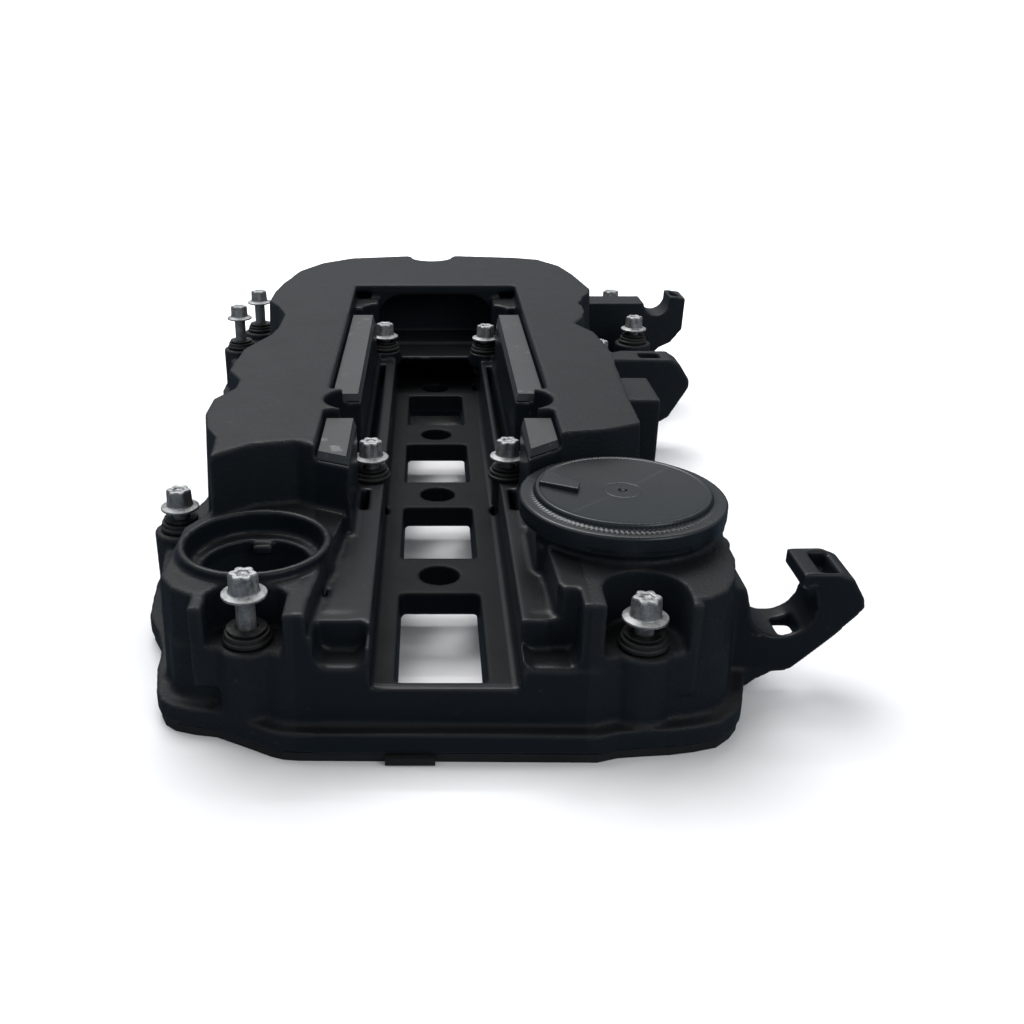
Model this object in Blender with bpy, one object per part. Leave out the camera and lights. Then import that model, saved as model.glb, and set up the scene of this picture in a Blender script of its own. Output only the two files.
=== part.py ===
"""Moulded camshaft cover of a small four-cylinder engine, with its gaskets, captive bolts and crankcase breather valve."""
import math

import bpy

# All sizes in millimetres; x across the engine, y along it, z up from the sealing face.
MM = 0.001
PITCH = 78.0  # cylinder spacing
CENTRE = (10.5, 135.8)  # middle of the overall box, measured from the first cylinder on the valley's axis
FLANGE_LOW, FLANGE_TOP = 3.5, 10.8
BODY_TOP = 30.0
VALLEY_TOP = 24.0
LEDGE = 42.0
ROOF = 75.0
ROOF_RISE = 0.0105
WALL = 4.0
INNER = 33.0  # half-width of the valley between the upper walls

FLANGE = [
    (-98.8, -44.8), (-95.8, -58.8), (-93.3, -63.8), (-89, -67.4), (-81.6, -69.8), (-74.6, -71), (-67.3, -74.8),
    (-61.3, -78), (-55.2, -81.4), (-50.9, -83), (-45.7, -83.6), (49.8, -84.6), (56.8, -82.3), (63.8, -81.5),
    (74, -80.6), (82.2, -79), (90.1, -76.6), (95.8, -71.5), (99.5, -66.2), (104, -52), (107.5, -39.6), (109, -14),
    (113.5, -2), (114.5, 9), (112, 20), (106, 29), (103.5, 45), (104, 100), (103.5, 150), (104, 196), (109, 222),
    (116, 240), (128.5, 252), (131, 268), (131, 318), (127, 334), (115, 343), (95, 349), (60, 352), (20, 354),
    (10, 357.2), (-14, 357.2), (-24, 354), (-60, 352), (-95, 349), (-115, 343), (-127, 334), (-131, 318),
    (-131, 272), (-126, 254), (-114, 236), (-108, 212), (-108, 168), (-105, 150), (-104.5, 90), (-106, 60),
    (-112, 38), (-113.5, 20), (-112, 6), (-110, -8), (-104, -20), (-100, -32),
]
ROOF_LEFT = [
    (-82.5, -4.8), (-84, 14), (-89, 24), (-92.5, 40), (-92.5, 58), (-86, 72), (-86, 84), (-93, 98), (-91, 131),
    (-82, 156), (-80, 170), (-80, 196), (-85, 212), (-92, 226), (-91.5, 248), (-89.5, 269), (-83, 301),
    (-71.5, 324), (-54, 339), (-18, 346),
]
ROOF_RIGHT = [
    (14, 346.7), (52, 341), (66.7, 335), (78, 315.8), (84.9, 284.4), (89, 254), (87, 244), (82, 234), (79.5, 219),
    (79, 202), (76.5, 190), (71, 178), (78.5, 161), (81.5, 127), (79, 69), (77.9, 29), (68, 24), (63, 21.8),
]
FRONT_LEFT = [
    (-93.5, -50), (-88, -58.5), (-82, -62.6), (-73, -63.5), (-64, -70), (-54.9, -73.8), (-48.6, -77.2),
    (-41.6, -77.2), (-41.4, -66), (-32.6, 20), (-85.5, 20), (-86, 2), (-93, -12),
]
FRONT_RIGHT = [
    (43.5, -77.2), (50.9, -77.2), (57, -75.5), (64.2, -77.4), (74, -73.6), (84.3, -71.8), (90.3, -67.3),
    (95.1, -58.5), (98.5, -45), (99.5, -20), (92, -8), (88, 8), (91, 21), (90, 34), (32.6, 34), (36.5, -62),
]

# Bolt stations: x, y, the height of the bolt's flange when the loose cover lies on a bench, and of its boss.
STATIONS = {
    "front_left": (-62.3, -65.7, 51.2, 35.0),
    "front_right": (64.2, -69.0, 44.5, 35.0),
    "left_near": (-101.0, 19.0, 43.5, 35.0),
    "left_mid": (-96.0, 183.0, 53.0, 35.0),
    "left_rear": (-119.0, 281.0, 53.0, 35.0),
    "left_far": (-112.8, 322.0, 53.0, 35.0),
    "inner_left_near": (-28.3, 59.0, 48.6, 40.0),
    "inner_right_near": (29.3, 60.0, 48.6, 40.0),
    "inner_left_far": (-28.9, 238.0, 53.0, 46.0),
    "inner_right_far": (28.3, 234.0, 53.0, 46.0),
    "right_near": (101.0, 8.0, 44.5, 35.0),
    "right_mid": (90.9, 219.0, 48.1, 35.0),
    "right_rear": (118.0, 264.0, 50.6, 43.0),
    "right_far": (112.8, 322.0, 53.0, 35.0),
    "far_centre": (-2.0, 343.0, 53.0, 35.0),
}
BOSS_R, BORE_R = 10.6, 6.9
BOLT_LENGTH = 44.0

FILLER = (-64.0, -31.0)
VENT = (64.0, -17.0)  # axis of the breather valve


def material(name, colour, roughness, metallic=0.0):
    made = bpy.data.materials.new(name)
    made.use_nodes = True
    shader = made.node_tree.nodes["Principled BSDF"]
    shader.inputs["Base Color"].default_value = (*colour, 1)
    shader.inputs["Roughness"].default_value = roughness
    shader.inputs["Metallic"].default_value = metallic
    return made


def mesh_object(name, points, faces, paint=None, helper=False):
    mesh = bpy.data.meshes.new(name)
    moved = [((x - CENTRE[0]) * MM, (y - CENTRE[1]) * MM, z * MM) for x, y, z in points]
    mesh.from_pydata(moved, [], faces)
    made = bpy.data.objects.new(name, mesh)
    bpy.context.scene.collection.objects.link(made)
    if paint:
        mesh.materials.append(paint)
    if helper:
        made.hide_render = True
        made.display_type = "WIRE"
    return made


def loft(low, high, z0, z1):
    """Points and faces between two outlines of equal length, counter-clockwise seen from above."""
    count = len(low)
    level = (lambda x, y: z0) if not callable(z0) else z0
    roof = (lambda x, y: z1) if not callable(z1) else z1
    points = [(x, y, level(x, y)) for x, y in low] + [(x, y, roof(x, y)) for x, y in high]
    faces = [list(range(count))[::-1], list(range(count, 2 * count))]
    faces += [[i, (i + 1) % count, count + (i + 1) % count, count + i] for i in range(count)]
    return points, faces


def prism(outline, z0, z1):
    return loft(outline, outline, z0, z1)


def box(x0, x1, y0, y1, z0, z1):
    return prism([(x0, y0), (x1, y0), (x1, y1), (x0, y1)], z0, z1)


def circle(x, y, r, count=24):
    turns = [2 * math.pi * (i + 0.5) / count for i in range(count)]
    return [(x + r * math.cos(t), y + r * math.sin(t)) for t in turns]


def drum(x, y, r, z0, z1, count=24, r_top=None):
    return loft(circle(x, y, r, count), circle(x, y, r if r_top is None else r_top, count), z0, z1)


def along_y(profile, y0, y1):
    """A profile of (x, z) points, counter-clockwise seen from the front, carried from y0 to y1."""
    count = len(profile)
    points = [(x, y0, z) for x, z in profile] + [(x, y1, z) for x, z in profile]
    faces = [list(range(count)), list(range(count, 2 * count))[::-1]]
    faces += [[i, count + i, count + (i + 1) % count, (i + 1) % count] for i in range(count)]
    return points, faces


def lathe(x, y, profile, count):
    """A closed body turned from a closed loop of (radius, z), counter-clockwise with the axis on its left."""
    points, faces, rings = [], [], []
    for r, z in profile:
        if r < 1e-6:
            rings.append([len(points)] * count)
            points.append((x, y, z))
            continue
        rings.append(list(range(len(points), len(points) + count)))
        points += [(px, py, z) for px, py in circle(x, y, r, count)]
    for one, two in zip(rings, rings[1:] + rings[:1]):
        for i in range(count):
            j = (i + 1) % count
            face = [one[i], one[j], two[j], two[i]]
            face = [v for k, v in enumerate(face) if v != face[k - 1]]
            if len(face) > 2:
                faces.append(face)
    return points, faces


def grown(outline, step):
    """The outline moved outward by step, or inward when step is negative."""
    out = []
    for i, (x, y) in enumerate(outline):
        (ax, ay), (bx, by) = outline[i - 1], outline[(i + 1) % len(outline)]
        one = math.hypot(x - ax, y - ay)
        two = math.hypot(bx - x, by - y)
        n1 = ((y - ay) / one, -(x - ax) / one)
        n2 = ((by - y) / two, -(bx - x) / two)
        mx, my = n1[0] + n2[0], n1[1] + n2[1]
        scale = min(2 / (mx * mx + my * my), 2.0)
        out.append((x + mx * scale * step, y + my * scale * step))
    return out


def mirrored(shape):
    points, faces = shape
    return [(-x, y, z) for x, y, z in points], [face[::-1] for face in faces]


def group(name, shapes):
    made = bpy.data.collections.new(name)
    bpy.context.scene.collection.children.link(made)
    for i, (points, faces) in enumerate(shapes):
        part = mesh_object(f"{name}_{i}", points, faces, helper=True)
        bpy.context.scene.collection.objects.unlink(part)
        made.objects.link(part)
    return made


def boolean(target, operation, shapes):
    step = target.modifiers.new(operation.lower(), "BOOLEAN")
    step.operation = operation
    step.solver = "EXACT"
    step.operand_type = "COLLECTION"
    step.collection = group(f"{target.name}_{len(target.modifiers)}", shapes)


def roof(x, y):
    return ROOF + ROOF_RISE * (y - 10)


def under_roof(x, y):
    return roof(x, y) - WALL


def tunnel(half, z0, z1, r):
    """Profile across the valley of the far pocket, with rounded upper corners."""
    turns = [math.pi / 2 * i / 6 for i in range(7)]
    right = [(half - r + r * math.cos(t), z1 - r + r * math.sin(t)) for t in turns]
    left = [(-x, z) for x, z in reversed(right)]
    return [(-half, z0), (half, z0)] + right + left


def clear_scene():
    for old in list(bpy.data.objects):
        bpy.data.objects.remove(old)


def cover(paint):
    body = grown(FLANGE, -5.2)
    leg_left = [(-INNER, 262), (-INNER, -1), (-45.5, 5.5), (-53, 10.5), (-69.7, 6.6)] + ROOF_LEFT
    outline = leg_left + ROOF_RIGHT + [(47.6, 18.8), (INNER, 6.4), (INNER, 262)]
    outline.reverse()  # counter-clockwise
    splayed = grown(outline, 3.0)
    points, faces = prism(FLANGE, FLANGE_LOW, FLANGE_TOP)
    made = mesh_object("cover_shell", points, faces, paint)

    hook = [
        (94, 9), (107, 4), (109.5, 6.3), (114.8, 9.6), (121, 10.6), (125.3, 14.6), (134.6, 23.8), (143.6, 34.6),
        (143.4, 38), (138.6, 46), (133, 48.3), (121.6, 48), (121.6, 42.6), (126, 41.5),
    ]
    saddle = [math.radians(a) for a in range(0, -181, -20)]
    hook += [(116.3 + 11.3 * math.cos(a), 35 + 11.3 * math.sin(a)) for a in saddle] + [(103, 42.6), (94, 45)]
    rear_hook = [
        (84, 30), (128, 24), (134, 29.5), (138, 34), (145, 37.4), (151.5, 46), (152, 65), (142.4, 66),
    ]
    rear_hook += [(134.6 + 7.6 * math.cos(a), 62 + 7.6 * math.sin(a)) for a in saddle]
    rear_hook += [(125, 62), (84, 62)]
    bracket = [(92, 12), (122, 17), (127, 20), (136.8, 37), (136.6, 41), (131, 49.5), (126, 52.6), (92, 53)]

    boolean(made, "UNION", [
        loft(body, grown(body, -1.0), FLANGE_LOW + 1, BODY_TOP),
        loft(grown(FRONT_LEFT, 0.8), grown(FRONT_LEFT, -0.6), 6, 50),
        loft(grown(FRONT_RIGHT, 0.8), grown(FRONT_RIGHT, -0.6), 6, 53.5),
        loft(splayed, outline, 16, roof),
        drum(*VENT, 34.5, 6, 52, 32),
        along_y(hook, -46, -25),
        along_y(rear_hook, 283, 303),
        along_y(bracket, 193, 211),
        box(80, 99.5, 92, 126, 20, 63.6),
    ])
    boolean(made, "DIFFERENCE", [
        prism(grown(body, -WALL), -1, BODY_TOP - WALL),
        loft(grown(splayed, -WALL), grown(outline, -WALL), 18, under_roof),
        prism(grown(FRONT_LEFT, -WALL), 18, 46),
        prism(grown(FRONT_RIGHT, -WALL), 18, 33),
        box(83, 95.5, 96, 122, 18, 60),
    ])
    bosses = [drum(x, y, BOSS_R, FLANGE_LOW + 0.6, top, 16) for x, y, _, top in STATIONS.values()]
    notch = drum(-INNER, 59, 18, 30, 71, 24)
    boolean(made, "UNION", bosses + [
        box(-28.2, 28.4, -76.6, 288, FLANGE_LOW + 0.3, LEDGE),
        box(-42, 45, -76.9, -50, 20, LEDGE - 0.2),
        box(-38, 38, -60, 21, 26, LEDGE + 0.1),
        box(-37.5, 37.5, 258, 290, 30, 75),
        notch, mirrored(notch),
        drum(-30.5, 238, 17, 30, 65, 24), drum(30, 234, 17, 30, 65, 24),
        box(-80, -47.5, -71, -47, 20, 49.2),
        box(48, 81, -75, -50, 20, 52.6),
        box(-19, 15, 325.5, 345.5, 12, 76),
        # Shelves under the lids, on both sides of the valley.
        prism([(-47.5, 7.5), (-INNER, 1), (-INNER, 262), (-47.5, 262)], 63, 72),
        prism([(INNER, 8.6), (47.5, 20.8), (47.5, 262), (INNER, 262)], 63, 72),
        box(-47.5, -INNER, 212, 240, 55, 66), box(INNER, 47.5, 212, 240, 55, 66),
        drum(*FILLER, 26.5, 22, 54, 32),
        drum(*VENT, 33.0, 28, 60, 32),
        # Mounting posts of the two baffles.
        *[drum(side * 62, y, 4.5, 41.9, 73, 12) for side in (-1, 1) for y in (52, 118, 184)],
    ])
    pockets = [
        drum(x, y, 12.6, top, 95, 24) for name, (x, y, _, top) in STATIONS.items() if name != "front_left"
    ]
    left_niche = [(-49.4, -90), (-49.4, -61.5), (-52.6, -57.8), (-72, -57.8), (-75.2, -61.5), (-75.2, -90)]
    pockets.append(prism(left_niche, 34.9, 96))
    right_niche = [(64.2 + 13.4 * math.cos(t), -66.2 + 13.4 * math.sin(t)) for t in
                   [math.pi * i / 12 for i in range(13)]] + [(50.8, -90), (77.6, -90)]
    pockets.append(prism(right_niche, 34.9, 96))
    bores = [drum(x, y, BORE_R, -2, top + 1, 16) for x, y, _, top in STATIONS.values()]
    plate_seats = [
        box(side * 39.5 - 6.5, side * 39.5 + 6.5, y0, y1, 68.7, 95)
        for side, y0, y1 in ((-1, -14, 46), (-1, 72, 215), (1, 2, 46), (1, 72, 215))
    ]
    bowl = [(-8, 60), (-8, 35), (-6.6, 32.6), (-4.2, 31.2), (4.2, 31.2), (6.6, 32.6), (8, 35), (8, 60)]
    scoops = [along_y([(x + dx, z) for dx, z in bowl], -90, -66) for x in (-32.2, 33)]
    scoops.append(along_y([(x * 0.58 + 38.8, z if z < 60 else 70) for x, z in bowl], -91, -65.2))
    notch_cut = drum(-INNER, 59, 14.2, LEDGE - 1.9, 95, 24)
    boolean(made, "DIFFERENCE", pockets + bores + plate_seats + [
        box(-22.6, 25.4, -90, 236, VALLEY_TOP, 95),
        box(-40.2, 41, -92, -67.5, 38, 97),
        box(-INNER, INNER, -90, 262, LEDGE, 96),
        along_y(tunnel(INNER, LEDGE + 2, 71.6, 13), 250, 286),
        along_y(tunnel(22.6, VALLEY_TOP, 40, 3), 228, 284),
        box(-46.2, 46.2, 234, 262, 70, 98), box(-46.1, 46.1, 214.4, 238, 61, 97.5),
        *[box(-14.7, 14.7, y - PITCH + 14.4, y - 14.7, -3, 30) for y in (PITCH, 2 * PITCH, 3 * PITCH)],
        box(-14.7, 14.7, -73.5, -14.7, -3, 30),
        box(-14.7, 14.7, -73.4, 249, -4, 14.5),
        *[drum(0, i * PITCH, 7.6, 5, 31, 24) for i in range(4)],
        *scoops,
        notch_cut, mirrored(notch_cut),
        drum(-9.5, 347.5, 7, 62, 99, 16), drum(5.5, 347.5, 7, 62, 99, 16),
        drum(*FILLER, 23.6, 45, 60, 32), drum(*FILLER, 18.8, 15, 46, 24),
        drum(*VENT, 28.6, 38, 62, 32), drum(*VENT, 30.9, 56.4, 63, 32), drum(*VENT, 7.5, 15, 40, 20),
        box(116.3, 123.4, -43.5, -33, 3, 34), box(113.5, 126.5, -43.4, -20, 3, 20.4),
        box(127.6, 134.2, -44, -28.5, 41, 52),
        box(110, 121, 197, 207, 40, 60),
        box(144, 149, 287, 299, 50, 70),
    ])
    raised = [(x, y, top) for x, y, _, top in STATIONS.values() if top > LEDGE and abs(x) < INNER]
    boolean(made, "UNION", [
        *[lathe(x, y, [(BORE_R - 0.1, 38), (9, 38), (9, top - 0.1), (BORE_R - 0.1, top - 0.1)], 16) for x, y, top in raised],
        lathe(*VENT, [(7.7, 36), (11, 36), (11, 44.6), (7.7, 44.6)], 24),
        # Bayonet lugs in the filler neck.
        *[box(FILLER[0] - 3.4, FILLER[0] + 3.4, FILLER[1] + y0, FILLER[1] + y1, 41, 44.2)
          for y0, y1 in ((-19.6, -14.2), (14.2, 19.6))],
    ])
    return made


def ring(name, outer, inner, z0, z1, paint):
    count = len(outer)
    points = [(x, y, z) for z in (z0, z1) for loop in (outer, inner) for x, y in loop]
    low_out, low_in, top_out, top_in = (range(k * count, (k + 1) * count) for k in range(4))
    faces = []
    for i in range(count):
        j = (i + 1) % count
        faces.append([low_out[i], low_out[j], top_out[j], top_out[i]])
        faces.append([low_in[j], low_in[i], top_in[i], top_in[j]])
        faces.append([top_out[i], top_out[j], top_in[j], top_in[i]])
        faces.append([low_out[j], low_out[i], low_in[i], low_in[j]])
    return mesh_object(name, points, faces, paint)


def bolt_set(name, x, y, seat, boss, steel, dark, rubber):
    """A captive bolt with the grommet and spacer sleeve that it passes through."""
    top = seat + 8.0
    points, faces = lathe(x, y, [
        (0, seat - BOLT_LENGTH), (2.2, seat - BOLT_LENGTH), (3.2, seat - BOLT_LENGTH + 1.4), (3.2, seat),
        (7.4, seat), (7.4, seat + 1.1), (4.7, seat + 2.8), (4.7, top - 0.6), (4.0, top), (0, top),
    ], 12)
    # Every other point of the head's rings is drawn in, which makes the six lobes.
    for k, (px, py, pz) in enumerate(points):
        if pz > seat + 2.5 and math.hypot(px - x, py - y) > 1 and k % 2:
            points[k] = (x + (px - x) * 0.87, y + (py - y) * 0.87, pz)
    mesh_object(f"bolt_{name}", points, faces, steel)
    low = boss - 13
    mesh_object(f"grommet_{name}", *lathe(x, y, [
        (5.3, low), (6.4, low), (6.4, boss + 0.3), (8.1, boss + 0.3), (8.1, boss + 3.7),
        (5.3, boss + 3.7),
    ], 12), rubber)
    mesh_object(f"sleeve_{name}", *lathe(x, y, [
        (3.55, 3.6), (4.8, 3.6), (4.8, boss + 4.0), (6.6, boss + 4.0), (6.6, boss + 5.0),
        (3.55, boss + 5.0),
    ], 12), dark)


def spring(name, x, y, r, wire, z0, z1, turns, paint):
    sides, steps = 5, int(turns * 14)
    points, faces = [], []
    for i in range(steps + 1):
        t = 2 * math.pi * turns * i / steps
        z = z0 + wire + (z1 - z0 - 2 * wire) * i / steps
        for k in range(sides):
            a = 2 * math.pi * k / sides
            reach = r + wire * math.cos(a)
            points.append((x + reach * math.cos(t), y + reach * math.sin(t), z + wire * math.sin(a)))
    for i in range(steps):
        for k in range(sides):
            j = (k + 1) % sides
            faces.append([i * sides + k, i * sides + j, (i + 1) * sides + j, (i + 1) * sides + k][::-1])
    faces.append(list(range(sides)))
    faces.append([steps * sides + k for k in range(sides)][::-1])
    return mesh_object(name, points, faces, paint)


def breather(paint, rubber, steel):
    x, y = VENT
    mesh_object("pcv_cap", *lathe(x, y, [
        (33.6, 58.0), (36.3, 58.0), (36.3, 64.3), (35.6, 65.0), (30.9, 65.0), (30.7, 67.0), (30.2, 67.3),
        (29.2, 67.2), (8, 66.5), (0, 66.5), (0, 63.2), (29.4, 63.2), (33.6, 62.4),
    ], 48), paint)
    wedge = [(-29.3, 3.5), (-16, -3.5), (-14.6, 2), (-25.4, 15.4)]
    tab = prism([(x + dx, y + dy) for dx, dy in wedge], 64.2, 68.6)
    boolean(bpy.data.objects["pcv_cap"], "UNION", [tab])
    mesh_object("pcv_membrane", *lathe(x, y, [
        (0, 56.9), (19, 56.9), (21, 54.9), (24, 54.9), (26, 56.9), (30.4, 56.9), (30.4, 58.6), (26, 58.6),
        (24, 56.5), (21, 56.5), (19, 58.2), (0, 58.2),
    ], 24), rubber)
    mesh_object("pcv_valve_plate", *lathe(x, y, [
        (0, 48.0), (3, 48.0), (5.4, 51.4), (16.5, 53.4), (18.4, 53.4), (18.4, 56.4), (0, 56.4),
    ], 24), paint)
    spring("pcv_spring", x, y, 14.2, 0.8, 38.4, 53.0, 5, steel)


def main():
    clear_scene()
    nylon = material("glass_filled_nylon", (0.012, 0.012, 0.013), 0.55)
    satin = material("satin_nylon", (0.03, 0.03, 0.032), 0.42)
    rubber = material("black_rubber", (0.008, 0.008, 0.008), 0.7)
    steel = material("zinc_plated_steel", (0.55, 0.55, 0.54), 0.42, 1.0)
    dark = material("phosphated_steel", (0.035, 0.035, 0.037), 0.45, 0.8)
    cover(nylon)
    ring("perimeter_gasket", grown(FLANGE, -0.9), grown(FLANGE, -4.6), 0, 3.2, rubber)
    boolean(bpy.data.objects["perimeter_gasket"], "UNION", [box(-18, -2, -85.6, -80.5, 0.4, 2.8)])
    valley_out = [(-20.5, -77.4), (20.5, -77.4), (20.5, 258), (-20.5, 258)]
    valley_in = [(-16.6, -74.6), (16.6, -74.6), (16.6, 254), (-16.6, 254)]
    ring("valley_gasket", valley_out, valley_in, 0, 3.2, rubber)
    for name, (x, y, seat, boss) in STATIONS.items():
        bolt_set(name, x, y, seat, boss, steel, dark, rubber)
    for name, side, inner, outer, rear in (
        ("left_front", -1, 0.0, 6.4, 44), ("left_rear", -1, 74, 74, 213.6),
        ("right_front", 1, 7.8, 18.2, 44), ("right_rear", 1, 74, 74, 213.6),
    ):
        outline = [(33.4, inner), (45.6, outer), (45.6, rear), (33.4, rear)]
        low, high = ([(side * x, y) for x, y in loop][::side] for loop in (outline, grown(outline, -0.8)))
        mesh_object(f"lid_{name}", *loft(low, high, 69, 72), satin)
    for side, sign in (("left", 1), ("right", -1)):
        outline = [
            (-72, 36), (-53, 36), (-53, 78), (-44, 84), (-44, 196), (-48, 202), (-63, 202), (-63, 166), (-72, 150),
        ]
        points, faces = prism(outline, 39.0, 41.6)
        if sign < 0:
            points, faces = mirrored((points, faces))
        made = mesh_object(f"baffle_{side}", points, faces, satin)
        drains = [drum(-sign * 62, y, 4, 37, 44, 12) for y in (70, 96, 138, 164)]
        boolean(made, "DIFFERENCE", drains)
    breather(satin, rubber, steel)


main()
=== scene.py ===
"""Looks of the moulded camshaft cover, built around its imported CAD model."""
import math

import bmesh
import bpy
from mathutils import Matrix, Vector


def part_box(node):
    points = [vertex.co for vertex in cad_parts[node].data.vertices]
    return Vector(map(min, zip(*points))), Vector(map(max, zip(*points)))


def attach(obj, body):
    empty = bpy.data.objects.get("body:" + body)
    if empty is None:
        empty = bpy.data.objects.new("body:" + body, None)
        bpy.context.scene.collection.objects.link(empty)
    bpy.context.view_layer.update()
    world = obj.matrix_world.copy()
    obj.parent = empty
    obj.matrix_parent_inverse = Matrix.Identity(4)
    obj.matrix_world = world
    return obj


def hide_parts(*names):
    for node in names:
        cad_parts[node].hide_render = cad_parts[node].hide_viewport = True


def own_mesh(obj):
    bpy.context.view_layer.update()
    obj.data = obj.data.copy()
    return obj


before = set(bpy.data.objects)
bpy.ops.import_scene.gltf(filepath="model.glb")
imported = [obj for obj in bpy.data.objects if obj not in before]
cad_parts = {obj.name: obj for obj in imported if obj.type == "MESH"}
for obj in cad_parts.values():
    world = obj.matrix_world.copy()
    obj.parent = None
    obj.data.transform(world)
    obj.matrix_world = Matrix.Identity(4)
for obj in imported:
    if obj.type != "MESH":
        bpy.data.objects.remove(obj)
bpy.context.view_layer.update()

# Sizes in millimetres, measured from the first cylinder on the valley's axis, as in the CAD.
MM = 0.001
CENTRE = (10.5, 135.8)
FILLER = (-64.0, -31.0)
HEAD_HEIGHT = 8.0
SHANK_LENGTH = 44.0
SLEEVE_RISE = 5.0
CORNER_STEPS = 4
VOXEL = 0.95


def metres(x, y, z):
    """A place in the valley's millimetres, as the frame's metres."""
    return (x - CENTRE[0]) * MM, (y - CENTRE[1]) * MM, z * MM


def middle(node):
    """The middle of a CAD node, seen from above."""
    low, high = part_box(node)
    return [(low[axis] + high[axis]) / 2 / MM + CENTRE[axis] for axis in (0, 1)]


def top_of(node):
    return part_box(node)[1][2] / MM


VENT = middle("pcv_cap")
STATIONS = [node.removeprefix("bolt_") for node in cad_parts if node.startswith("bolt_")]


# ---------------------------------------------------------------- materials

def new_material(name):
    made = bpy.data.materials.new(name)
    made.use_nodes = True
    nodes, links = made.node_tree.nodes, made.node_tree.links
    return made, nodes, links, nodes["Principled BSDF"]


def noise(nodes, links, scale, detail, roughness=0.6):
    place = nodes.new("ShaderNodeTexCoord")
    made = nodes.new("ShaderNodeTexNoise")
    made.inputs["Scale"].default_value = scale
    made.inputs["Detail"].default_value = detail
    made.inputs["Roughness"].default_value = roughness
    links.new(place.outputs["Object"], made.inputs["Vector"])
    return made.outputs["Fac"]


def ramp(nodes, links, source, low, high, out_low, out_high):
    made = nodes.new("ShaderNodeMapRange")
    made.inputs["From Min"].default_value = low
    made.inputs["From Max"].default_value = high
    made.inputs["To Min"].default_value = out_low
    made.inputs["To Max"].default_value = out_high
    links.new(source, made.inputs["Value"])
    return made.outputs["Result"]


# A Mix node's colour sockets share their names with its other sockets, so they are picked by place.
MIX_FACTOR, MIX_ONE, MIX_TWO, MIX_RESULT = 0, 6, 7, 2


def mix_colour(nodes, links, factor, one, two):
    """A colour between one and two, where one is a colour or another node's output."""
    made = nodes.new("ShaderNodeMix")
    made.data_type = "RGBA"
    if isinstance(one, tuple):
        made.inputs[MIX_ONE].default_value = (*one, 1)
    else:
        links.new(one, made.inputs[MIX_ONE])
    made.inputs[MIX_TWO].default_value = (*two, 1)
    links.new(factor, made.inputs[MIX_FACTOR])
    return made.outputs[MIX_RESULT]


def product(nodes, links, one, two):
    made = nodes.new("ShaderNodeMath")
    made.operation = "MULTIPLY"
    links.new(one, made.inputs[0])
    links.new(two, made.inputs[1])
    return made.outputs["Value"]


def bump(nodes, links, target, height, strength, distance):
    """Relief on the normal of the target, which is a shader or another bump."""
    made = nodes.new("ShaderNodeBump")
    made.inputs["Strength"].default_value = strength
    made.inputs["Distance"].default_value = distance
    links.new(height, made.inputs["Height"])
    links.new(made.outputs["Normal"], target.inputs["Normal"])
    return made


# The tint of the sides below is a painted reflection of a bluish sky, not the plastic's own colour.
SIDE_PAINTED_REFLECTION_TINT = (0.75, 1.1, 1.4)
NICK_COLOUR = (0.16, 0.16, 0.16)


def nylon_colour(nodes, links, base, wear_and_edge_highlight, nicks):
    """Bluer on the sides as a painted reflection of a bluish sky, clouded and dusty, and paler on the edges,
    partly wear and partly a painted highlight, with small nicks there.
    """
    geometry = nodes.new("ShaderNodeNewGeometry")
    pointiness = geometry.outputs["Pointiness"]
    split = nodes.new("ShaderNodeSeparateXYZ")
    links.new(geometry.outputs["Normal"], split.inputs["Vector"])
    # Faces that turn sideways are tinted bluer: a painted reflection of a bluish sky.
    upward = ramp(nodes, links, split.outputs["Z"], 0.25, 0.85, 0.0, 1.0)
    side_painted_reflection = tuple(channel * share for channel, share in zip(base, SIDE_PAINTED_REFLECTION_TINT))
    tone = mix_colour(nodes, links, upward, side_painted_reflection, base)
    clouds = ramp(nodes, links, noise(nodes, links, 14, 5), 0.35, 0.7, 0, 0.3)
    tone = mix_colour(nodes, links, clouds, tone, tuple(c * 1.5 for c in base))
    specks = ramp(nodes, links, noise(nodes, links, 260, 3), 0.70, 0.78, 0, 0.22)
    tone = mix_colour(nodes, links, specks, tone, tuple(c * 3.0 for c in wear_and_edge_highlight))
    # Paler convex edges: partly wear, partly a painted highlight.
    edge_wear_and_highlight = ramp(nodes, links, pointiness, 0.515, 0.60, 0.0, 0.55)
    tone = mix_colour(nodes, links, edge_wear_and_highlight, tone, wear_and_edge_highlight)
    sharp = ramp(nodes, links, pointiness, 0.545, 0.575, 0.0, 1.0)
    patches = ramp(nodes, links, noise(nodes, links, 75, 4, 0.7), 0.62, 0.68, 0, nicks)
    return mix_colour(nodes, links, product(nodes, links, sharp, patches), tone, NICK_COLOUR)


def nylon_material(name, base, wear_and_edge_highlight, grain, rough_low, rough_high, shine, nicks=0.7):
    made, nodes, links, shader = new_material(name)
    links.new(nylon_colour(nodes, links, base, wear_and_edge_highlight, nicks), shader.inputs["Base Color"])
    rough = ramp(nodes, links, noise(nodes, links, 40, 6), 0.3, 0.7, rough_low, rough_high)
    links.new(rough, shader.inputs["Roughness"])
    fine = bump(nodes, links, shader, noise(nodes, links, 950, 2, 0.5), grain, 0.0005)
    bump(nodes, links, fine, noise(nodes, links, 60, 2), 0.05, 0.0006)
    shader.inputs["Specular Tint"].default_value = (0.9, 0.96, 1.0, 1)
    shader.inputs["Specular IOR Level"].default_value = shine
    return made


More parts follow.
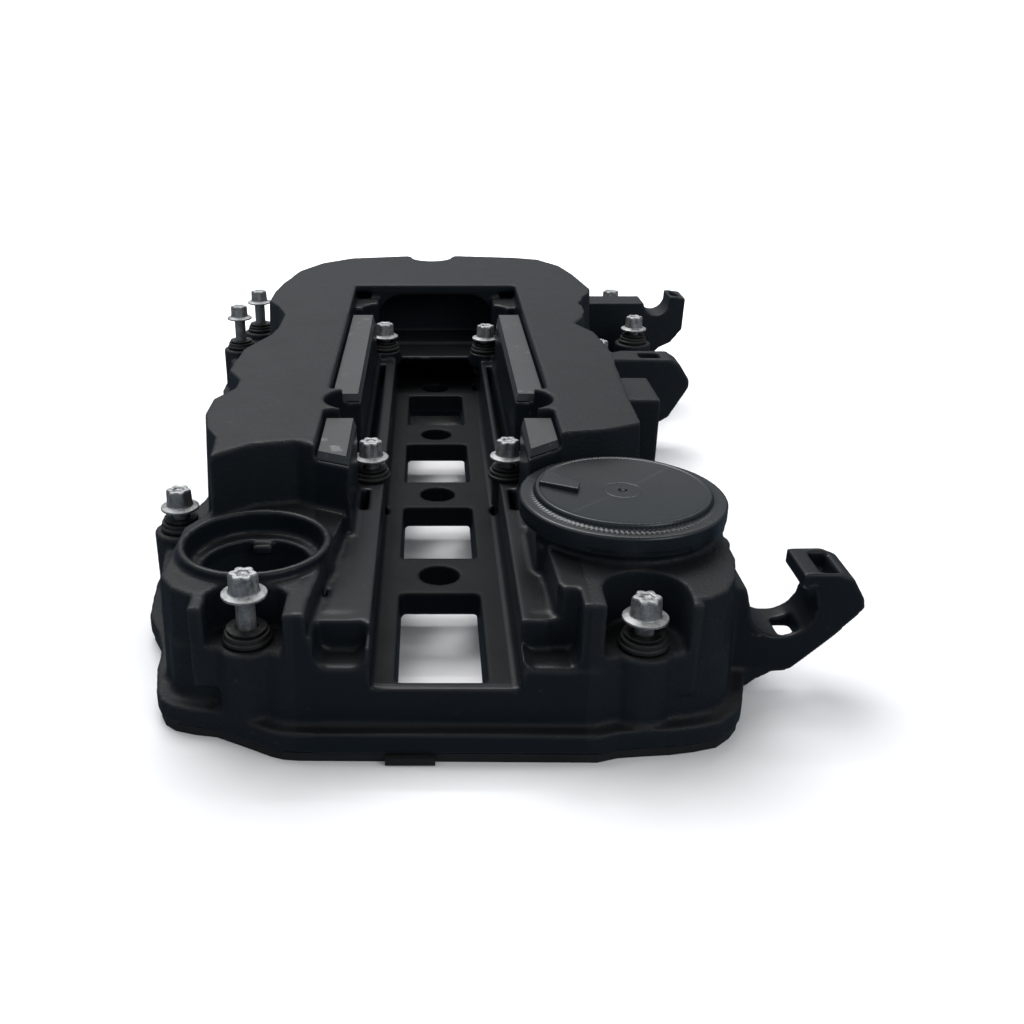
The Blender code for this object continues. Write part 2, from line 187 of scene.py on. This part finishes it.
def rubber_material():
    made, nodes, links, shader = new_material("looks_rubber")
    cloud = noise(nodes, links, 60, 4)
    tone = mix_colour(nodes, links, cloud, (0.006, 0.006, 0.006), (0.014, 0.014, 0.014))
    links.new(tone, shader.inputs["Base Color"])
    links.new(ramp(nodes, links, cloud, 0.3, 0.7, 0.45, 0.7), shader.inputs["Roughness"])
    bump(nodes, links, shader, cloud, 0.2, 0.0003)
    shader.inputs["Specular IOR Level"].default_value = 0.35
    return made


def metal_material(name, dull, bright):
    made, nodes, links, shader = new_material(name)
    shader.inputs["Metallic"].default_value = 0.85
    cloud = noise(nodes, links, 420, 6, 0.75)
    patch = ramp(nodes, links, cloud, 0.38, 0.62, 0, 1)
    links.new(mix_colour(nodes, links, patch, dull, bright), shader.inputs["Base Color"])
    links.new(ramp(nodes, links, cloud, 0.3, 0.7, 0.42, 0.66), shader.inputs["Roughness"])
    bump(nodes, links, shader, cloud, 0.45, 0.0002)
    return made


# Each material's second, paler colour paints dust specks and the edges; on the edges it is partly wear,
# partly a painted highlight.
NYLON = nylon_material(
    "looks_nylon", base=(0.0085, 0.0090, 0.0100), wear_and_edge_highlight=(0.030, 0.030, 0.032),
    grain=0.5, rough_low=0.46, rough_high=0.60, shine=0.19)
SATIN = nylon_material(
    "looks_satin", base=(0.0075, 0.0080, 0.0090), wear_and_edge_highlight=(0.034, 0.034, 0.036),
    grain=0.10, rough_low=0.30, rough_high=0.40, shine=0.17)
CAP = nylon_material(
    "looks_cap", base=(0.0085, 0.0090, 0.0100), wear_and_edge_highlight=(0.034, 0.034, 0.036),
    grain=0.05, rough_low=0.25, rough_high=0.32, shine=0.42, nicks=0.05)
LID = nylon_material(
    "looks_lid", base=(0.030, 0.031, 0.030), wear_and_edge_highlight=(0.05, 0.05, 0.05),
    grain=0.16, rough_low=0.42, rough_high=0.52, shine=0.30)
# The valley's floor gets a darker paint than the same plastic elsewhere: painted shade in the deep valley.
VALLEY_PAINTED_SHADE = nylon_material(
    "looks_valley_painted_shade", base=(0.0050, 0.0060, 0.0063), wear_and_edge_highlight=(0.02, 0.022, 0.022),
    grain=0.08, rough_low=0.45, rough_high=0.60, shine=0.09)
RUBBER = rubber_material()
ZINC = metal_material("looks_zinc", (0.21, 0.215, 0.22), (0.40, 0.41, 0.415))
DARK = metal_material("looks_phosphate", (0.02, 0.02, 0.021), (0.055, 0.055, 0.056))


# ---------------------------------------------------------------- meshes

def mesh_object(name, points, faces, paint, smooth=True):
    mesh = bpy.data.meshes.new(name)
    mesh.from_pydata([metres(*point) for point in points], [], faces)
    mesh.materials.append(paint)
    if smooth:
        mesh.shade_smooth()
    made = bpy.data.objects.new(name, mesh)
    bpy.context.scene.collection.objects.link(made)
    return made


def lathe(x, y, profile, count, shape=None):
    """A body turned from a closed loop of (radius, z). Its shape may change a radius by angle and height."""
    points, faces, rings = [], [], []
    for r, z in profile:
        if r < 1e-6:
            rings.append([len(points)] * count)
            points.append((x, y, z))
            continue
        rings.append(list(range(len(points), len(points) + count)))
        for i in range(count):
            t = 2 * math.pi * (i + 0.5) / count
            reach = shape(r, t, z) if shape else r
            points.append((x + reach * math.cos(t), y + reach * math.sin(t), z))
    for one, two in zip(rings, rings[1:] + rings[:1]):
        for i in range(count):
            j = (i + 1) % count
            face = [one[i], one[j], two[j], two[i]]
            face = [v for k, v in enumerate(face) if v != face[k - 1]]
            if len(face) > 2:
                faces.append(face)
    return points, faces


def rounded(profile, radius):
    """The profile with each corner replaced by an arc-like run of points."""
    out = []
    for i, (r, z) in enumerate(profile):
        (ar, az), (br, bz) = profile[i - 1], profile[(i + 1) % len(profile)]
        if r < 1e-6:
            out.append((r, z))
            continue
        one, two = math.hypot(ar - r, az - z), math.hypot(br - r, bz - z)
        cut = min(radius, one * 0.45, two * 0.45)
        start = (r + (ar - r) * cut / one, z + (az - z) * cut / one)
        end = (r + (br - r) * cut / two, z + (bz - z) * cut / two)
        for k in range(CORNER_STEPS + 1):
            t = k / CORNER_STEPS
            out.append(tuple((1 - t) ** 2 * s + 2 * t * (1 - t) * c + t * t * e
                             for s, c, e in zip(start, (r, z), end)))
    return out


def auto_smooth(obj, degrees):
    bpy.context.view_layer.objects.active = obj
    for other in bpy.context.selected_objects:
        other.select_set(False)
    obj.select_set(True)
    bpy.ops.object.shade_auto_smooth(angle=math.radians(degrees))


def bevel(obj, width, segments=3):
    step = obj.modifiers.new("bevel", "BEVEL")
    step.width = width * MM
    step.segments = segments
    step.limit_method = "ANGLE"
    step.angle_limit = math.radians(35)
    step.harden_normals = True


# ---------------------------------------------------------------- the moulded cover

def cover():
    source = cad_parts["cover_shell"]
    mesh = source.data.copy()
    made = bpy.data.objects.new("moulded_cover", mesh)
    bpy.context.scene.collection.objects.link(made)
    work = bmesh.new()
    work.from_mesh(mesh)
    bmesh.ops.remove_doubles(work, verts=work.verts, dist=1e-6)
    work.to_mesh(mesh)
    work.free()
    remesh = made.modifiers.new("remesh", "REMESH")
    remesh.mode = "VOXEL"
    remesh.voxel_size = VOXEL * MM
    remesh.use_smooth_shade = True
    soften = made.modifiers.new("soften", "SMOOTH")
    soften.factor = 0.5
    soften.iterations = 3
    graph = bpy.context.evaluated_depsgraph_get()
    graph.update()
    fixed = bpy.data.meshes.new_from_object(made.evaluated_get(graph))
    made.modifiers.clear()
    made.data = fixed
    fixed.shade_smooth()
    paint_faces(made)
    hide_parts("cover_shell")
    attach(made, "cover")


COVER_PAINTS = (NYLON, SATIN, VALLEY_PAINTED_SHADE)
GRAINED, PLAIN, DEEP_PAINTED_SHADE = range(len(COVER_PAINTS))
VALLEY_HALF, VALLEY_END, VALLEY_TOP = 46.3, 264.0, 74.0
FLOOR_HALF, FLOOR_START, FLOOR_END, FLOOR_TOP = 22.0, -74.5, 250.0, 26.0
NECK_RADIUS, NECK_LOW = 27.4, 40.0
HOUSING_RADIUS, HOUSING_LOW = 33.2, 53.6
HOOK_START, HOOK_LOW = 101.0, 12.0


def paint_at(x, y, z):
    """Painted shade (a darker paint) on the valley's floor, plain round it and on the neck, breather and
    hook, else grained.
    """
    if abs(x) < FLOOR_HALF and FLOOR_START < y < FLOOR_END and z < FLOOR_TOP:
        return DEEP_PAINTED_SHADE
    valley = abs(x) < VALLEY_HALF and y < VALLEY_END and z < VALLEY_TOP
    neck = math.dist((x, y), FILLER) < NECK_RADIUS and z > NECK_LOW
    housing = math.dist((x, y), VENT) < HOUSING_RADIUS and z > HOUSING_LOW
    front_hook = x > HOOK_START and y < 0 and z > HOOK_LOW
    return PLAIN if valley or neck or housing or front_hook else GRAINED


def paint_faces(obj):
    mesh = obj.data
    mesh.materials.clear()
    for paint in COVER_PAINTS:
        mesh.materials.append(paint)
    for face in mesh.polygons:
        x, y, z = (length / MM for length in face.center)
        face.material_index = paint_at(x + CENTRE[0], y + CENTRE[1], z)


# ---------------------------------------------------------------- bolts and their seats

LOBES = 6
LOBE_HEIGHT, LOBE_FADE = 5.6, 3.2


def lobes(r, t, z, top):
    """Six lobes on the head, deep and sharp at the top and fading out above the flange."""
    share = max(0.0, min(1.0, (z - top + LOBE_HEIGHT) / LOBE_FADE))
    wave = abs(math.cos(LOBES / 2 * t))
    depth = 0.06 * min(1.0, share * 3) + 0.21 * share
    return r * (1 - depth * (1 - wave) ** 0.8)


def bolt(name, x, y):
    top = top_of(f"bolt_{name}")
    seat = top - HEAD_HEIGHT
    tip = seat - SHANK_LENGTH
    shank = [(2.2, tip), (3.2, tip + 1.4), (3.2, seat - 0.02)]
    flange = [(7.4, seat), (7.4, seat + 0.9), (5.3, seat + 1.5), (5.0, seat + 1.9)]
    head = [(4.85, top - 0.7), (4.4, top - 0.05), (2.8, top), (2.2, top - 0.3)]
    profile = [(0, tip)] + rounded(shank + flange + head, 0.3) + [(0, top - 0.3)]
    turned = lathe(x, y, profile, 72, lambda r, t, z: lobes(r, t, z, top))
    made = mesh_object(f"looks_bolt_{name}", *turned, ZINC)
    auto_smooth(made, 40)
    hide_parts(f"bolt_{name}")
    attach(made, f"bolt_{name}_body")


def seat_parts(name, x, y):
    """The rubber grommet in the boss, and the steel sleeve that the bolt goes through."""
    boss = top_of(f"sleeve_{name}") - SLEEVE_RISE
    grommet_foot, sleeve_foot = boss - 13, 3.7
    grommet = rounded([
        (5.15, grommet_foot), (6.35, grommet_foot), (6.35, boss + 0.3), (8.1, boss + 0.3), (8.1, boss + 1.6),
        (7.4, boss + 2.0), (7.6, boss + 2.4), (7.4, boss + 3.6), (5.15, boss + 3.6),
    ], 0.4)
    ring = mesh_object(f"looks_grommet_{name}", *lathe(x, y, grommet, 48), RUBBER)
    flange_low, flange_top = boss + 4.0, boss + SLEEVE_RISE
    sleeve = rounded([
        (3.5, sleeve_foot), (4.75, sleeve_foot), (4.75, flange_low),
        (6.6, flange_low), (6.6, flange_top), (3.5, flange_top),
    ], 0.25)
    tube = mesh_object(f"looks_sleeve_{name}", *lathe(x, y, sleeve, 48), DARK)
    for part, node, slot in ((ring, "grommet", "gasket_rubber"), (tube, "sleeve", "dark_steel")):
        auto_smooth(part, 50)
        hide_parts(f"{node}_{name}")
        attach(part, "cover")


# ---------------------------------------------------------------- breather valve

RIBS, RIB_SHARE = 120, 0.007
CUT_OUTS, CUT_OUT_DEPTH = 4, 0.75


def knurl(r, t, z):
    """Fine ribs on the wall under the cap's disc, and cut-outs low on its skirt."""
    if 31.0 < r < 32.6 and z > 64.0:
        return r * (1 + RIB_SHARE * math.cos(RIBS * t))
    if r > 36.0 and z < 59.9 and math.sin(CUT_OUTS * t + 1.4) > -0.35:
        return r - CUT_OUT_DEPTH
    return r


def breather():
    x, y = VENT
    cap = rounded([
        (33.6, 58.0), (36.25, 58.0), (36.25, 59.6), (36.3, 60.0), (36.3, 64.2), (35.6, 64.9), (34.2, 65.0),
        (32.4, 65.0), (31.2, 65.4), (30.8, 66.7), (30.3, 67.3), (29.3, 67.25), (28.8, 67.05), (14, 66.55),
        (6.9, 66.4), (6.6, 66.3), (6.3, 66.4), (1.5, 66.4),
    ], 0.3) + [(0, 66.4), (0, 63.3)] + rounded([(29.4, 63.3), (33.6, 62.5)], 0.3)
    made = mesh_object("looks_cap", *lathe(x, y, cap, 480, knurl), CAP)
    auto_smooth(made, 30)
    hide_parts("pcv_cap")
    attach(made, "cover")
    wedge = [(x - 29.2, y + 3.5), (x - 16, y - 3.3), (x - 14.7, y + 2), (x - 25.4, y + 15.2)]
    tab = block("looks_cap_tab", wedge, 65.6, 68.4, CAP)
    bevel(tab, 0.5)
    # A thin dark rubber sheet on the cap's centre: painted shade standing in for a slot, which is not cut.
    slot = [(x - 0.5, y - 1.6), (x + 0.5, y - 1.6), (x + 0.5, y + 1.6), (x - 0.5, y + 1.6)]
    painted_slot_shade = block("looks_cap_slot_painted_shade", slot, 66.0, 66.5, RUBBER)
    for part in (tab, painted_slot_shade):
        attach(part, "cover")


def valve_spring():
    """A copy of the CAD spring with its own mesh, in zinc, carried with the cover."""
    node = bpy.data.objects["pcv_spring"]
    made = bpy.data.objects.new("looks_spring", node.data.copy())
    bpy.context.scene.collection.objects.link(made)
    made.data.materials.clear()
    made.data.materials.append(ZINC)
    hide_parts("pcv_spring")
    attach(made, "cover")
    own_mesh(made)


def block(name, outline, z0, z1, paint):
    """A flat outline raised from z0 to z1."""
    count = len(outline)
    points = [(px, py, z) for z in (z0, z1) for px, py in outline]
    faces = [list(range(count))[::-1], list(range(count, 2 * count))]
    faces += [[i, (i + 1) % count, (i + 1) % count + count, i + count] for i in range(count)]
    return mesh_object(name, points, faces, paint, smooth=False)


def small_parts():
    """CAD nodes that are shown as they are, with their edges eased and their finish set."""
    for name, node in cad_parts.items():
        if name.startswith("lid_"):
            paint, width = LID, 0.6
        elif name.startswith("baffle_") or name == "pcv_valve_plate":
            paint, width = SATIN, 0.6
        elif name in ("perimeter_gasket", "valley_gasket", "pcv_membrane"):
            paint, width = RUBBER, 0.5
        elif name == "pcv_spring":
            paint, width = ZINC, 0.0
        else:
            continue
        node.data.materials.clear()
        node.data.materials.append(paint)
        if width:
            bevel(node, width, 2)


# ---------------------------------------------------------------- stage

def area_light(name, place, aim, size, power):
    data = bpy.data.lights.new(name, "AREA")
    data.shape = "RECTANGLE"
    data.size, data.size_y = size
    data.energy = power
    made = bpy.data.objects.new(name, data)
    bpy.context.scene.collection.objects.link(made)
    made.location = place
    direction = Vector([end - start for start, end in zip(place, aim)])
    made.rotation_euler = direction.to_track_quat("-Z", "Y").to_euler()


def sky():
    """Soft light, strongest high on the sides. The camera sees a plain backdrop wherever the floor ends."""
    world = bpy.data.worlds.new("studio")
    bpy.context.scene.world = world
    world.use_nodes = True
    nodes, links = world.node_tree.nodes, world.node_tree.links
    light = nodes["Background"]
    place = nodes.new("ShaderNodeTexCoord")
    split = nodes.new("ShaderNodeSeparateXYZ")
    links.new(place.outputs["Generated"], split.inputs["Vector"])
    height = split.outputs["Z"]
    rise = ramp(nodes, links, height, 0.0, 0.9, 0.11, 0.88)
    overhead = ramp(nodes, links, height, 0.66, 0.88, 1.0, 0.4)
    links.new(product(nodes, links, rise, overhead), light.inputs["Strength"])
    tint = ramp(nodes, links, height, 0.0, 0.5, 0.0, 1.0)
    colour = mix_colour(nodes, links, tint, (0.62, 0.85, 1.15), (0.98, 1.0, 0.98))
    links.new(colour, light.inputs["Color"])
    backdrop = nodes.new("ShaderNodeBackground")
    backdrop.inputs["Color"].default_value = (0.93, 0.94, 0.95, 1)
    seen = nodes.new("ShaderNodeLightPath")
    choice = nodes.new("ShaderNodeMixShader")
    links.new(seen.outputs["Is Camera Ray"], choice.inputs["Fac"])
    links.new(light.outputs["Background"], choice.inputs[1])
    links.new(backdrop.outputs["Background"], choice.inputs[2])
    links.new(choice.outputs["Shader"], nodes["World Output"].inputs["Surface"])


def studio():
    sky()
    floor = cyclorama()
    paper, _, _, shader = new_material("paper")
    shader.inputs["Base Color"].default_value = (0.86, 0.86, 0.88, 1)
    shader.inputs["Roughness"].default_value = 0.7
    floor.data.materials.append(paper)
    floor.visible_glossy = False
    area_light("key", place=(-0.35, 0.45, 1.25), aim=(0, 0.1, 0.03), size=(1.2, 0.9), power=17)
    area_light("fill", place=(0.8, -0.9, 0.9), aim=(0, 0, 0.03), size=(0.7, 0.7), power=4)
    area_light("backdrop", place=(0, 1.6, 2.2), aim=(0, 3.2, 0.4), size=(3.0, 0.8), power=130)


def cyclorama():
    """Pale floor that curves up into a wall behind the part."""
    front, foot, bend, top, half_width, steps = -3.0, 2.2, 1.2, 4.0, 6.0, 16
    turns = [math.pi / 2 * i / steps for i in range(steps + 1)]
    line = [(front, 0.0)]
    line += [(foot + bend * math.sin(a), bend - bend * math.cos(a)) for a in turns]
    line.append((foot + bend, top))
    points = [(x, y, z) for y, z in line for x in (-half_width, half_width)]
    faces = [[2 * i, 2 * i + 1, 2 * i + 3, 2 * i + 2] for i in range(len(line) - 1)]
    mesh = bpy.data.meshes.new("cyclorama")
    mesh.from_pydata(points, [], faces)
    mesh.shade_smooth()
    made = bpy.data.objects.new("cyclorama", mesh)
    bpy.context.scene.collection.objects.link(made)
    return made


EYE = (-4.3, -364.0, 214.1)
PITCH_DOWN = 24.23


def camera():
    data = bpy.data.cameras.new("camera")
    data.lens = 37.77
    data.sensor_width = 36
    data.shift_x = 0.082
    data.clip_start = 0.01
    made = bpy.data.objects.new("camera", data)
    bpy.context.scene.collection.objects.link(made)
    made.location = metres(*EYE)
    made.rotation_euler = (math.radians(90 - PITCH_DOWN), 0, 0)
    bpy.context.scene.camera = made


cover()
for station in STATIONS:
    place = middle(f"bolt_{station}")
    bolt(station, *place)
    seat_parts(station, *place)
breather()
small_parts()
valve_spring()
studio()
camera()
bpy.context.scene.view_settings.view_transform = "Standard"
